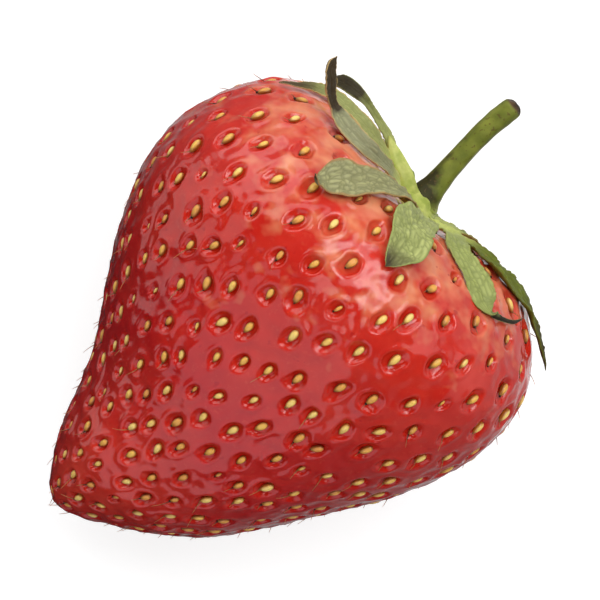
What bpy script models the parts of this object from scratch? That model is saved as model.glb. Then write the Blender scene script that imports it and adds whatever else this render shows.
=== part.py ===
"""A ripe garden strawberry lying on its side, with its calyx and a short cut piece of its stem.

The pieces are built in the berry's own frame: X runs along the berry from its tip to its calyx, Y
across it to the left, and Z up from the surface that it lies on. An empty then turns that frame.
All sizes below are in millimetres, and angles are in degrees.
"""

import math

import bmesh
import bpy
import numpy as np

MM = 0.001

HEADING = 38  # of the line from the tip to the calyx, about the vertical
REST_SPOT = (27.4, -1.8)  # the middle of the flat spot under the flesh, along and across the berry

# The flesh: one row for each ring from the tip to the calyx. A row gives the ring's left end and its
# top, its right end and its bottom. The first number is always the distance along the berry. The
# second is across it for the left and right, and up for the top and bottom.
RINGS = (
    ((-0.1, -1.4), (-0.1, 9.6), (-0.1, -1.4), (-0.1, 9.6)),
    ((1.6, 1.2), (1.2, 12.6), (0.9, -4.2), (1.0, 7.0)),
    ((5.6, 4.2), (4.8, 17.2), (4.3, -8.6), (4.6, 3.6)),
    ((11.2, 7.4), (10.4, 22.2), (9.6, -13.5), (10.0, 1.4)),
    ((17.0, 12.2), (17.0, 27.4), (17.0, -17.3), (17.2, 0.2)),
    ((23.4, 17.0), (24.2, 31.8), (25.0, -20.9), (24.4, -0.4)),
    ((30.0, 19.6), (31.2, 34.8), (32.4, -22.7), (31.6, -0.4)),
    ((36.4, 19.2), (37.2, 34.0), (39.0, -22.2), (38.2, 1.0)),
    ((41.5, 17.0), (40.8, 30.6), (43.8, -18.9), (42.8, 4.2)),
    ((44.2, 12.4), (42.4, 27.0), (46.4, -14.2), (45.0, 7.8)),
    ((44.7, 6.6), (42.8, 23.0), (46.2, -8.2), (44.8, 12.2)),
    ((43.0, -0.6), (43.0, 17.6), (43.0, -0.6), (43.0, 17.6)),
)
CALYX_RING = len(RINGS) - 1
FLESH_STEPS = 38  # from the tip to the calyx
FLESH_SIDES = 48

# The pale disc under the stem, as distance from its axis and height above the flesh's last point.
CALYX_AXIS = (1.0, 0.05, 0.03)
CALYX_PROFILE = ((2.3, 0.75), (2.65, 1.0), (2.6, 1.4), (2.1, 1.8), (1.9, 2.0))
CALYX_SIDES = 24

# The stem's middle line, along, across and up, and its radius there.
STEM = (
    (45.35, -0.45, 17.7, 1.65),
    (47.0, -0.15, 17.8, 1.2),
    (49.4, 0.35, 18.0, 1.05),
    (51.5, 0.7, 18.3, 1.0),
    (53.6, 1.0, 18.7, 1.02),
    (55.4, 1.1, 19.05, 1.06),
    (56.6, 1.1, 19.35, 1.02),
    (57.4, 1.1, 19.5, 0.9),
)
STEM_STEPS = 20
STEM_SIDES = 16

# The ten lobes of the calyx, in order round it. Inner lobes are sepals and outer ones bractlets. A row
# is a place on the lobe's midrib: how far it is from the calyx, counted in the flesh's rings, its
# angle round the berry (0 is left and 90 is the top), its height over the skin, and half its width.
LOBES = {
    "sepal_1": (
        (0.54, 5, 1.12, 0.79), (0.85, 2, 1.35, 0.6), (1.05, 1, 1.4, 0.52), (1.22, 1, 1.4, 0.5),
        (1.39, 5, 1.6, 0.42), (1.56, 11, 1.9, 0.42), (1.71, 11, 2.0, 0.6), (1.88, 5, 1.9, 0.75),
        (2.04, -1, 1.75, 0.68), (2.17, -3, 1.5, 0.2),
    ),
    "bractlet_1": (
        (0.54, 34, 0.93, 0.84), (0.98, 30, 0.8, 0.9), (1.36, 29, 0.8, 0.9), (1.62, 26, 0.8, 0.9),
        (1.81, 23, 0.8, 0.85), (2.0, 21, 0.8, 0.8), (2.26, 21, 0.8, 0.7), (2.46, 22, 0.7, 0.6),
        (2.67, 23, 0.6, 0.45), (2.86, 24, 0.5, 0.32), (3.03, 23, 0.5, 0.22), (3.18, 22, 0.5, 0.1),
    ),
    "sepal_2": (
        (0.54, 65, 0.9, 0.9), (1.0, 60, 0.9, 0.95), (1.35, 60, 0.9, 0.95), (1.71, 60, 0.9, 0.95),
        (2.09, 58, 0.9, 0.95), (2.26, 54, 0.9, 1.0), (2.38, 51, 0.95, 1.05), (2.5, 46, 1.15, 0.95),
        (2.61, 43, 1.6, 0.5), (2.75, 43, 2.4, 0.62), (2.87, 43, 3.4, 0.8), (2.96, 43, 4.6, 0.85),
        (2.99, 42, 5.6, 0.72), (2.92, 41, 6.5, 0.12),
    ),
    "bractlet_2": (
        (0.54, 87, 1.56, 0.93), (1.5, 82, 1.65, 1.0), (2.2, 80, 1.65, 1.05), (2.7, 79, 1.45, 1.1),
        (2.89, 78, 1.25, 1.2), (3.06, 76, 1.1, 1.4), (3.3, 74, 1.0, 1.65), (3.5, 72, 1.0, 1.9),
        (3.67, 70, 0.95, 1.85), (3.86, 69, 0.95, 1.4), (4.0, 68, 1.15, 0.8), (4.08, 68, 1.6, 0.4),
        (4.06, 67, 2.3, 0.12),
    ),
    "sepal_3": (
        (0.54, 103, 0.76, 1.03), (0.95, 99, 0.7, 1.25), (1.8, 95, 0.7, 1.7), (2.64, 94, 0.8, 2.05),
        (2.91, 93, 0.9, 2.25), (3.19, 94, 0.9, 2.35), (3.48, 95, 0.9, 2.2), (3.69, 95, 0.85, 1.75),
        (3.91, 95, 0.8, 1.05), (4.11, 95, 0.85, 0.15),
    ),
    "bractlet_3": (
        (0.54, 141, 1.04, 0.8), (0.73, 134, 1.0, 0.8), (1.2, 119, 1.0, 0.8), (1.76, 112, 1.0, 0.9),
        (2.11, 114, 1.0, 1.0), (2.33, 119, 1.0, 1.25), (2.5, 122, 1.0, 1.5), (2.69, 125, 1.0, 1.55),
        (2.86, 129, 0.9, 1.2), (2.93, 133, 0.85, 0.45), (2.85, 139, 0.8, 0.24), (2.71, 146, 0.8, 0.2),
        (2.52, 152, 0.9, 0.1),
    ),
    "sepal_4": (
        (0.54, 169, 0.73, 1.04), (0.88, 158, 0.65, 1.25), (1.2, 154, 0.6, 1.35), (1.5, 155, 0.6, 1.45),
        (1.72, 160, 0.6, 1.5), (1.92, 167, 0.6, 1.45), (2.22, 172, 0.6, 1.3), (2.57, 172, 0.75, 1.0),
        (2.86, 173, 1.1, 0.6), (3.15, 178, 1.45, 0.12),
    ),
    "bractlet_4": (
        (0.54, 225, 0.74, 0.9), (1.2, 232, 0.6, 1.2), (1.9, 236, 0.6, 1.4), (2.6, 238, 0.6, 1.1),
        (3.1, 239, 0.7, 0.2),
    ),
    "sepal_5": (
        (0.54, 268, 0.74, 1.0), (1.1, 268, 0.6, 1.5), (1.6, 267, 0.6, 1.8), (2.2, 266, 0.6, 1.5),
        (2.7, 265, 0.8, 0.2),
    ),
    "bractlet_5": (
        (0.54, 314, 0.74, 0.9), (1.2, 308, 0.6, 1.2), (1.9, 304, 0.6, 1.4), (2.6, 302, 0.6, 1.1),
        (3.1, 301, 0.7, 0.2),
    ),
}
TWIST = {  # of some lobes about their midribs, from the base to the tip
    "sepal_1": (0, -45, -65, -65), "bractlet_1": (0, -25, -35, -30, -20), "sepal_2": (0, -45, -60, -85),
    "bractlet_2": (0, -10, -22), "bractlet_3": (0, 15, 28),
}
LOBE_STEPS = 26
LOBE_ACROSS = (-1, -0.5, 0, 0.5, 1)
LOBE_CUP = 0.1  # rise of a lobe's edges, as a share of half its width
LOBE_THICKNESS = 0.5


# --- smooth curves ---------------------------------------------------------------------------------


def spline_controls(points):
    """Control points of the closed cubic B-spline that passes the points at 0, 1, 2 and so on."""
    turns = 2 * np.pi * np.arange(len(points)) / len(points)
    spectrum = np.fft.fft(np.array(points, float), axis=0)
    return np.fft.ifft(spectrum * (3 / (2 + np.cos(turns)))[:, None], axis=0).real


def on_spline(controls, place):
    """Points of a closed B-spline at any places along it."""
    start = np.floor(place).astype(int)
    f = (place - start)[..., None]
    weights = ((1 - f) ** 3, 3 * f**3 - 6 * f**2 + 4, 1 + 3 * f + 3 * f**2 - 3 * f**3, f**3)
    return sum(w * controls[(start + k - 1) % len(controls)] for k, w in enumerate(weights)) / 6


def smooth(rows, count):
    """Evenly spaced rows of the open Catmull-Rom curve through the given rows."""
    rows = np.array(rows, float)
    padded = np.vstack((2 * rows[0] - rows[1], rows, 2 * rows[-1] - rows[-2]))
    place = np.linspace(0, len(rows) - 1, count)
    start = np.minimum(place.astype(int), len(rows) - 2)
    f = (place - start)[:, None]
    a, b, c, d = (padded[start + k] for k in range(4))
    return b + f * (c - a) / 2 + f**2 * (a - 2.5 * b + 2 * c - d / 2) + f**3 * (d - a + 3 * (b - c)) / 2


def unit(vectors):
    return vectors / np.linalg.norm(vectors, axis=-1, keepdims=True)


# --- the flesh's surface ---------------------------------------------------------------------------

PLAN = spline_controls([ring[0] for ring in RINGS] + [ring[2] for ring in RINGS[-2:0:-1]])
PROFILE = spline_controls([ring[1] for ring in RINGS] + [ring[3] for ring in RINGS[-2:0:-1]])


def skin(ring, angle):
    """Points on the skin, at any place between the rings and any angle round the berry."""
    left, right = on_spline(PLAN, ring), on_spline(PLAN, -ring)
    top, bottom = on_spline(PROFILE, ring), on_spline(PROFILE, -ring)
    x = (
        (left + right + top + bottom)[..., 0] / 4
        + (left + right - top - bottom)[..., 0] / 4 * np.cos(2 * angle)
        + (left - right)[..., 0] / 2 * np.cos(angle)
        + (top - bottom)[..., 0] / 2 * np.sin(angle)
    )
    y = (left + right)[..., 1] / 2 + (left - right)[..., 1] / 2 * np.cos(angle)
    z = (top + bottom)[..., 1] / 2 + (top - bottom)[..., 1] / 2 * np.sin(angle)
    return np.stack((x, y, z), axis=-1)


def skin_directions(ring, angle, step=0.01):
    """The skin's unit normal, and its unit direction round the berry."""
    along = skin(ring + step, angle) - skin(ring - step, angle)
    around = skin(ring, angle + step) - skin(ring, angle - step)
    return unit(np.cross(around, along)), unit(around)


# --- building objects ------------------------------------------------------------------------------


def clear_scene():
    for obj in list(bpy.data.objects):
        bpy.data.objects.remove(obj)


def material(name, colour, roughness):
    made = bpy.data.materials.new(name)
    made.use_nodes = True
    shader = made.node_tree.nodes["Principled BSDF"]
    shader.inputs["Base Color"].default_value = (*colour, 1)
    shader.inputs["Roughness"].default_value = roughness
    shader.inputs["Metallic"].default_value = 0
    return made


def add_object(name, data, look, berry):
    data.materials.append(look)
    obj = bpy.data.objects.new(name, data)
    obj.parent = berry
    bpy.context.scene.collection.objects.link(obj)
    return obj


def mesh_of(name, bm):
    bmesh.ops.recalc_face_normals(bm, faces=bm.faces)
    data = bpy.data.meshes.new(name)
    bm.to_mesh(data)
    bm.free()
    data.shade_smooth()
    return data


def join_rings(bm, rings):
    """Faces between neighbouring rings of vertices. It returns the first and the last ring."""
    rows = [[bm.verts.new(point * MM) for point in ring] for ring in rings]
    for near, far in zip(rows, rows[1:]):
        for i in range(len(near)):
            bm.faces.new((near[i - 1], near[i], far[i], far[i - 1]))
    return rows[0], rows[-1]


def close_at(bm, ring, point):
    """A fan of faces from a ring to one point."""
    tip = bm.verts.new(np.array(point) * MM)
    for i in range(len(ring)):
        bm.faces.new((ring[i - 1], ring[i], tip))


# --- the pieces ------------------------------------------------------------------------------------


def add_fruit(berry):
    """The flesh and its skin, cut flat where the berry rests."""
    bm = bmesh.new()
    ring = np.linspace(0, CALYX_RING, FLESH_STEPS + 1)
    angle = np.linspace(0, 2 * np.pi, FLESH_SIDES, endpoint=False)
    first, last = join_rings(bm, skin(ring[1:-1, None], angle))
    close_at(bm, first, skin(ring[0], 0.0))
    close_at(bm, last, skin(ring[-1], 0.0))
    every = bm.verts[:] + bm.edges[:] + bm.faces[:]
    cut = bmesh.ops.bisect_plane(
        bm, geom=every, plane_co=(0, 0, 0), plane_no=(0, 0, -1), clear_outer=True
    )
    rim = [item for item in cut["geom_cut"] if isinstance(item, bmesh.types.BMEdge)]
    bmesh.ops.contextual_create(bm, geom=rim)
    data = mesh_of("fruit", bm)
    data.set_sharp_from_angle(angle=math.radians(40))
    add_object("fruit", data, material("skin", (0.52, 0.018, 0.016), 0.2), berry)


def add_calyx_base(berry):
    """The disc that the lobes stand round, turned about the calyx's axis."""
    axis = unit(np.array(CALYX_AXIS))
    side = unit(np.cross((0, 0, 1), axis))
    up = np.cross(axis, side)
    middle = skin(float(CALYX_RING), 0.0)
    angle = np.linspace(0, 2 * np.pi, CALYX_SIDES, endpoint=False)[:, None]
    round_axis = np.cos(angle) * side + np.sin(angle) * up
    bm = bmesh.new()
    first, last = join_rings(bm, [middle + axis * h + round_axis * r for r, h in CALYX_PROFILE])
    close_at(bm, first, middle + axis * CALYX_PROFILE[0][1])
    close_at(bm, last, middle + axis * CALYX_PROFILE[-1][1])
    data = mesh_of("calyx_base", bm)
    data.set_sharp_from_angle(angle=math.radians(50))
    add_object("calyx_base", data, material("calyx_base", (0.42, 0.48, 0.12), 0.5), berry)


def add_stem(berry):
    """The cut stem, a tube along its bent middle line."""
    rows = smooth(STEM, STEM_STEPS + 1)
    middle, radius = rows[:, :3], rows[:, 3:]
    along = unit(np.gradient(middle, axis=0))
    side = unit(np.cross((0, 0, 1), along))
    up = np.cross(along, side)
    bm = bmesh.new()
    angles = np.linspace(0, 2 * np.pi, STEM_SIDES, endpoint=False)
    edge = [middle + radius * (np.cos(a) * side + np.sin(a) * up) for a in angles]
    first, last = join_rings(bm, np.stack(edge, axis=1))
    close_at(bm, first, middle[0])
    close_at(bm, last, middle[-1])
    data = mesh_of("stem", bm)
    data.set_sharp_from_angle(angle=math.radians(50))
    add_object("stem", data, material("stem", (0.17, 0.23, 0.05), 0.55), berry)


def add_lobe(name, rows, look, berry):
    """One sepal or bractlet: a thin sheet along its midrib, as wide as its rows say."""
    rows = smooth(rows, LOBE_STEPS + 1)
    ring, angle = CALYX_RING - rows[:, 0], np.radians(rows[:, 1])
    height, half_width = rows[:, 2:3], rows[:, 3:4]
    normal, around = skin_directions(ring, angle)
    midrib = skin(ring, angle) + normal * height
    along = unit(np.gradient(midrib, axis=0))
    side = unit(around - along * np.sum(around * along, axis=1, keepdims=True))
    face = np.cross(side, along)
    face *= np.sign(np.sum(face[0] * normal[0]))
    twist = TWIST.get(name, (0, 0))
    share = np.linspace(0, 1, LOBE_STEPS + 1)
    turn = np.radians(np.interp(share, np.linspace(0, 1, len(twist)), twist))[:, None]
    side, face = side * np.cos(turn) + face * np.sin(turn), face * np.cos(turn) - side * np.sin(turn)
    bm = bmesh.new()
    grid = [
        [bm.verts.new(point * MM) for point in midrib + half_width * (w * side + LOBE_CUP * w**2 * face)]
        for w in LOBE_ACROSS
    ]
    for near, far in zip(grid, grid[1:]):
        for i in range(LOBE_STEPS):
            bm.faces.new((near[i], near[i + 1], far[i + 1], far[i]))
    obj = add_object(name, mesh_of(name, bm), look, berry)
    sheet = obj.modifiers.new("thickness", "SOLIDIFY")
    sheet.thickness = LOBE_THICKNESS * MM
    sheet.offset = 0


def add_berry_frame():
    """The empty that turns the berry, with the middle of its rest spot at the world's origin."""
    berry = bpy.data.objects.new("berry", None)
    turn = math.radians(HEADING)
    x, y = REST_SPOT
    berry.rotation_euler.z = turn
    berry.location = (
        (y * math.sin(turn) - x * math.cos(turn)) * MM,
        -(x * math.sin(turn) + y * math.cos(turn)) * MM,
        0,
    )
    bpy.context.scene.collection.objects.link(berry)
    return berry


def main():
    clear_scene()
    berry = add_berry_frame()
    add_fruit(berry)
    add_calyx_base(berry)
    add_stem(berry)
    sepal = material("sepal", (0.22, 0.27, 0.09), 0.6)
    bractlet = material("bractlet", (0.25, 0.27, 0.13), 0.65)
    for name, rows in LOBES.items():
        add_lobe(name, rows, sepal if name.startswith("sepal") else bractlet, berry)


main()
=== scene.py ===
"""The looks of a ripe strawberry that lies on its side: skin, achenes, styles, calyx and stem.

Shapes are worked out in the berry's own frame, in millimetres: X runs along the berry from its tip to
its calyx, Y across it to the left, and Z up from the surface. to_row() takes them to the row's frame.
Angles are in degrees in the tables, unless they say otherwise, and in radians inside the functions.
"""

import math

import bpy
import numpy as np
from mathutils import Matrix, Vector, kdtree, noise


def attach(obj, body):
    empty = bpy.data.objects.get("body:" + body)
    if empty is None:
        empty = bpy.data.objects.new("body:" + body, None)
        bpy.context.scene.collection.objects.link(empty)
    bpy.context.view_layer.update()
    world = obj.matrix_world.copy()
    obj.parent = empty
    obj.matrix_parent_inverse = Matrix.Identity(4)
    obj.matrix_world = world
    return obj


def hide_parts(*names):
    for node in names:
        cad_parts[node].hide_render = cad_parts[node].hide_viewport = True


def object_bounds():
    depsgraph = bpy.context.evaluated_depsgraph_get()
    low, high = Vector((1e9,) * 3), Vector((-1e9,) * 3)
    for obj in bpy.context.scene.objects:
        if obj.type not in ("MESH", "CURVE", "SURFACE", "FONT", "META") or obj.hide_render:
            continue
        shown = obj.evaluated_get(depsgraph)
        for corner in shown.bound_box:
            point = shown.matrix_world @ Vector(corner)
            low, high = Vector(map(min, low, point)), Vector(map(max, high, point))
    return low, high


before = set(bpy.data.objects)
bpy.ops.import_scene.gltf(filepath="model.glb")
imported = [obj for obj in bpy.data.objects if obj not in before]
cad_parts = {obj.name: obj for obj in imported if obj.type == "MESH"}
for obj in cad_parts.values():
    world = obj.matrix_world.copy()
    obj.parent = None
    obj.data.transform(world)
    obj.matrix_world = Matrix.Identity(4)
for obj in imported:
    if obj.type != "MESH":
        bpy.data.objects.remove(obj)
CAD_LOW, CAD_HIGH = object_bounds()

MM = 0.001
random = np.random.default_rng(7)

# The berry's place and the flesh's rings, as in the frame's solids. A ring is its left, top, right and
# bottom point: how far along and across the left and right ones are, and how far along and up the others.
HEADING = 38
REST_SPOT = (27.4, -1.8)
RINGS = (
    ((-0.1, -1.4), (-0.1, 9.6), (-0.1, -1.4), (-0.1, 9.6)),
    ((1.6, 1.2), (1.2, 12.6), (0.9, -4.2), (1.0, 7.0)),
    ((5.6, 4.2), (4.8, 17.2), (4.3, -8.6), (4.6, 3.6)),
    ((11.2, 7.4), (10.4, 22.2), (9.6, -13.5), (10.0, 1.4)),
    ((17.0, 12.2), (17.0, 27.4), (17.0, -17.3), (17.2, 0.2)),
    ((23.4, 17.0), (24.2, 31.8), (25.0, -20.9), (24.4, -0.4)),
    ((30.0, 19.6), (31.2, 34.8), (32.4, -22.7), (31.6, -0.4)),
    ((36.4, 19.2), (37.2, 34.0), (39.0, -22.2), (38.2, 1.0)),
    ((41.5, 17.0), (40.8, 30.6), (43.8, -18.9), (42.8, 4.2)),
    ((44.2, 12.4), (42.4, 27.0), (46.4, -14.2), (45.0, 7.8)),
    ((44.7, 6.6), (42.8, 23.0), (46.2, -8.2), (44.8, 12.2)),
    ((43.0, -0.6), (43.0, 17.6), (43.0, -0.6), (43.0, 17.6)),
)
CALYX_RING = len(RINGS) - 1

SKIN_GRID = 128  # cells along each side of the six grids that cover the flesh
SKIN_CROWDING = 0.35  # how much finer those cells are on top than they would be all round

CALYX_AXIS = (1.0, 0.05, 0.03)
CALYX_PROFILE = (  # distance from the calyx's axis and height over the flesh's last point
    (1.5, 0.25), (2.4, 0.35), (3.0, 0.5), (3.3, 0.75), (3.0, 1.05), (2.5, 1.3), (2.0, 1.7), (1.6, 2.3),
)
CALYX_FOLDS = (  # the middle lines of the hub's fold and then of a small tooth, and half their widths
    (
        (43.7, -0.9, 18.2, 0.7),
        (44.2, 0.6, 19.2, 0.85),
        (44.7, 2.2, 19.6, 0.95),
        (45.1, 3.7, 19.5, 0.85),
        (45.5, 4.7, 19.2, 0.6),
        (46.1, 6.2, 18.6, 0.1),
    ),
    (
        (44.7, 1.0, 18.6, 0.4),
        (45.05, 1.5, 18.9, 0.38),
        (45.4, 1.95, 19.1, 0.36),
        (45.6, 2.3, 19.2, 0.28),
        (45.75, 2.45, 19.25, 0.08),
    ),
)
FOLD_FLATNESS = 0.4  # the thickness of both over their width
STEM = (  # the middle line, along, across and up, and the radius there
    (44.8, -0.55, 17.6, 2.0),
    (45.7, -0.4, 17.75, 1.5),
    (47.0, -0.15, 17.8, 1.2),
    (49.4, 0.35, 18.0, 1.04),
    (51.5, 0.7, 18.3, 1.0),
    (53.6, 1.0, 18.7, 1.02),
    (55.4, 1.1, 19.05, 1.06),
    (56.6, 1.1, 19.35, 1.03),
    (57.5, 1.1, 19.5, 0.95),
)
STEM_RIDGES = 5
RIDGE_HEIGHT, KNOB_HEIGHT = 0.035, 0.05  # over the stem's radius
CUT_FROM = 0.92  # the share of its length where it starts to round off to the cut
BRUISES = (  # on the stem: how far along, at what angle in radians, how long, how wide and how dark
    (0.1, 0.9, 0.12, 1.6, 1.3), (0.24, 0.8, 0.09, 1.0, 1.05), (0.37, 0.5, 0.07, 0.6, 0.75),
)

# A row is a place on a lobe's midrib: how far it is from the calyx, counted in the flesh's rings, its
# angle round the berry (0 is left and 90 is the top), its height over the skin, and half its width.
LOBES = {
    "sepal_1": (
        (0.3, 8, 0.9, 0.9), (0.62, 4, 1.2, 0.75), (0.85, 2, 1.35, 0.6), (1.05, 1, 1.4, 0.52),
        (1.22, 1, 1.4, 0.5), (1.39, 5, 1.6, 0.42), (1.56, 11, 1.9, 0.42), (1.71, 11, 2.0, 0.6),
        (1.88, 5, 1.9, 0.75), (2.04, -1, 1.75, 0.68), (2.17, -3, 1.5, 0.2),
    ),
    "bractlet_1": (
        (0.3, 38, 1.0, 0.8), (0.62, 32, 0.9, 0.85), (0.98, 30, 0.8, 0.9), (1.36, 29, 0.8, 0.9),
        (1.62, 26, 0.8, 0.9), (1.81, 23, 0.8, 0.85), (2.0, 21, 0.8, 0.8), (2.26, 21, 0.8, 0.7),
        (2.46, 22, 0.7, 0.6), (2.67, 23, 0.6, 0.45), (2.86, 24, 0.5, 0.32), (3.03, 23, 0.5, 0.22),
        (3.18, 22, 0.5, 0.1),
    ),
    "sepal_2": (
        (0.3, 68, 0.9, 0.8), (0.65, 63, 0.9, 0.8), (1.0, 60, 0.9, 0.82), (1.35, 60, 0.9, 0.84),
        (1.71, 60, 0.9, 0.86), (2.09, 58, 0.9, 0.88), (2.26, 54, 0.9, 0.94), (2.38, 51, 0.95, 1.0),
        (2.5, 46, 1.15, 0.95), (2.61, 43, 1.6, 0.5), (2.75, 43, 2.4, 0.62), (2.87, 43, 3.4, 0.8),
        (2.96, 43, 4.6, 0.85), (2.99, 42, 5.6, 0.72), (2.92, 41, 6.5, 0.12),
    ),
    "bractlet_2": (
        (0.3, 96, 0.2, 0.7), (0.75, 92, 0.35, 0.75), (1.2, 89, 0.6, 0.8), (1.7, 86, 0.9, 0.9),
        (2.2, 83, 1.15, 1.0), (2.65, 80, 1.2, 1.15), (2.89, 78, 1.2, 1.25), (3.06, 76, 1.1, 1.4),
        (3.3, 74, 1.0, 1.65), (3.5, 72, 1.0, 1.9), (3.67, 70, 0.95, 1.85), (3.86, 69, 0.95, 1.4),
        (4.0, 68, 1.15, 0.8), (4.08, 68, 1.6, 0.4), (4.06, 67, 2.3, 0.12),
    ),
    "sepal_3": (
        (0.3, 106, 0.8, 0.9), (0.95, 99, 0.7, 1.25), (1.8, 95, 0.7, 1.7), (2.64, 94, 0.8, 2.05),
        (2.91, 93, 0.9, 2.25), (3.19, 94, 0.9, 2.35), (3.48, 95, 0.9, 2.2), (3.69, 95, 0.85, 1.75),
        (3.91, 95, 0.8, 1.05), (4.11, 95, 0.85, 0.15),
    ),
    "bractlet_3": (
        (0.3, 150, 1.0, 0.9), (0.73, 135, 0.9, 0.95), (1.2, 122, 0.8, 1.1), (1.76, 116, 0.7, 1.2),
        (2.11, 117, 0.7, 1.2), (2.33, 120, 0.7, 1.3), (2.5, 123, 0.65, 1.45), (2.69, 126, 0.5, 1.45),
        (2.86, 129, 0.5, 1.2), (2.93, 133, 0.5, 0.45), (2.85, 139, 0.55, 0.24), (2.71, 146, 0.6, 0.2),
        (2.52, 152, 0.7, 0.1),
    ),
    "sepal_4": (
        (0.3, 180, 0.8, 0.9), (0.64, 165, 0.7, 1.1), (0.88, 158, 0.6, 1.25), (1.2, 154, 0.5, 1.35),
        (1.5, 155, 0.45, 1.45), (1.72, 160, 0.45, 1.5), (1.92, 167, 0.5, 1.45), (2.22, 172, 0.55, 1.3),
        (2.57, 172, 0.75, 1.0), (2.86, 173, 1.1, 0.6), (3.15, 178, 1.45, 0.12),
    ),
    "bractlet_4": (
        (0.3, 222, 0.9, 0.9), (0.6, 226, 0.7, 0.9), (1.2, 232, 0.6, 1.2), (1.9, 236, 0.6, 1.4),
        (2.6, 238, 0.6, 1.1), (3.1, 239, 0.7, 0.2),
    ),
    "sepal_5": (
        (0.3, 268, 0.4, 0.7), (0.6, 264, 0.3, 0.8), (1.1, 260, 0.25, 0.9), (1.6, 259, 0.35, 1.3),
        (2.2, 261, 0.6, 1.5), (2.7, 263, 0.8, 0.2),
    ),
    "bractlet_5": (
        (0.3, 316, 0.9, 0.9), (0.6, 314, 0.7, 0.9), (1.2, 308, 0.6, 1.2), (1.9, 304, 0.6, 1.4),
        (2.6, 302, 0.6, 1.1), (3.1, 301, 0.7, 0.2),
    ),
}
TWIST = {  # of some lobes about their midribs, from the base to the tip
    "sepal_1": (0, -45, -65, -65), "bractlet_1": (0, -25, -35, -30, -20), "sepal_2": (0, -45, -60, -85),
    "bractlet_2": (0, -10, -22), "bractlet_3": (6, 24, 22, 10),
}
LOBE_STEPS = 150
LOBE_ACROSS = 31
LONG_VEINS = (-0.68, -0.36, 0.0, 0.36, 0.68)  # places across a lobe's half width
VEIN_WIDTH, VEIN_DEPTH = 0.11, 0.15
PUCKER_HEIGHT = 0.16
LEAF_THICKNESS, EDGE_THINNING = 0.3, 0.17  # at the midrib, and how much less it is at the edge
LEAF_LIFT = 0.06  # of the whole sheet over the route in the table

# Achenes stand at these distances from each other, at rings counted from the tip.
ACHENE_SPACING = ((0, 2.5), (2, 2.8), (4, 3.2), (6, 3.8), (8, 4.5), (10, 5.3), (11, 5.6))
ACHENE_ROOM = 0.87  # the area of an achene's place over the square of that distance
ACHENE_FIRST = 0.12  # the ring nearest the tip that has achenes
ACHENE_LAST = CALYX_RING - 0.85  # the ring nearest the calyx that has them
ACHENE_JITTER = (0.05, 0.35)  # along, in rings, and round the berry
GOLDEN_ANGLE = math.pi * (3 - math.sqrt(5))
EVENING_ROUNDS = 24
ACHENE_SIZE = (0.66, 0.35, 0.31)  # half the length, width and thickness where they stand 3.8 apart
ACHENE_TAPER = 0.2  # how much wider the blunt end is
ACHENE_LIFT, STYLE_LIFT = 0.7, 0.8  # over the bottom of the pit, counted in half thicknesses
STUNTED_SHARE = 0.12
STUNTED_SIZE, STUNTED_SLIMNESS = 0.68, 0.75  # over those of the others
STYLE_CLEARANCE = 0.8  # achenes nearer to the surface that the berry lies on have lost their styles

PIT_SIZE = (1.66, 1.24)  # half the length and width of a pit where achenes stand 5.3 apart
PIT_DEPTH = 0.45
PIT_LIP = 0.065  # rise of the skin round a pit
PIT_LIP_AT, PIT_LIP_BREADTH = 1.15, 0.25  # in pit sizes
SWELL_HEIGHT, RIPPLE_HEIGHT, DENT_HEIGHT = 0.14, 0.14, 0.1
REST_SOFTNESS = 0.02  # square millimetres: how softly the skin turns into its flat spot
PALE_OFFSET = (-1.5, 1.6, 1.0)  # of the palest place from the calyx, along, across and up
PALE_REACH = 30  # the distance from there that the skin's "zone" counts as 1

CAMERA_OFFSET = (-24.2, -23.5, 600)  # from the middle of the berry, in the row's frame
VIEW_WIDTH = 57  # what the picture spans there
FLOOR_HALF = 6.0  # metres
LIGHT_DISTANCE = 1.6  # metres
SOFTBOXES = {  # azimuth from +X towards +Y, elevation, width and height in metres, and radiance
    "window": (31, 60, 0.85, 1.4, 1.9),
    "window_pane": (31, 62, 0.45, 0.8, 2.4),
    "second_window": (108, 30, 1.8, 1.4, 1.6),
    "panel": (229, 27, 2.05, 1.6, 0.76),
    "left_panel": (161, 6, 1.15, 1.6, 0.85),
    "side_panel": (350, 44, 0.8, 0.9, 1.0),
    "top_panel": (240, 72, 0.5, 0.4, 1.6),
    "fill": (75, 54, 1.6, 1.6, 1.3),
    "low_fill": (252, 42, 1.6, 1.6, 1.2),
}
LIGHT_TINTS = {"panel": (1.0, 0.92, 1.05)}
ONLY_MIRRORED = ("panel", "left_panel")
ONLY_FILL = ("fill", "low_fill")
GLOW_HEADING = 28  # of the brighter side of the room
DIMMEST = 0.03  # the room's least brightness
BACKDROP = 1.05  # its brightness where the camera sees it


# --- smooth curves and the flesh's surface ---------------------------------------------------------


def spline_controls(points):
    """Control points of the closed cubic B-spline that passes the points at 0, 1, 2 and so on."""
    turns = 2 * np.pi * np.arange(len(points)) / len(points)
    spectrum = np.fft.fft(np.array(points, float), axis=0)
    return np.fft.ifft(spectrum * (3 / (2 + np.cos(turns)))[:, None], axis=0).real


def on_spline(controls, place):
    """Points of a closed B-spline at any places along it."""
    start = np.floor(place).astype(int)
    f = (place - start)[..., None]
    weights = ((1 - f) ** 3, 3 * f**3 - 6 * f**2 + 4, 1 + 3 * f + 3 * f**2 - 3 * f**3, f**3)
    return sum(w * controls[(start + k - 1) % len(controls)] for k, w in enumerate(weights)) / 6


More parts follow.
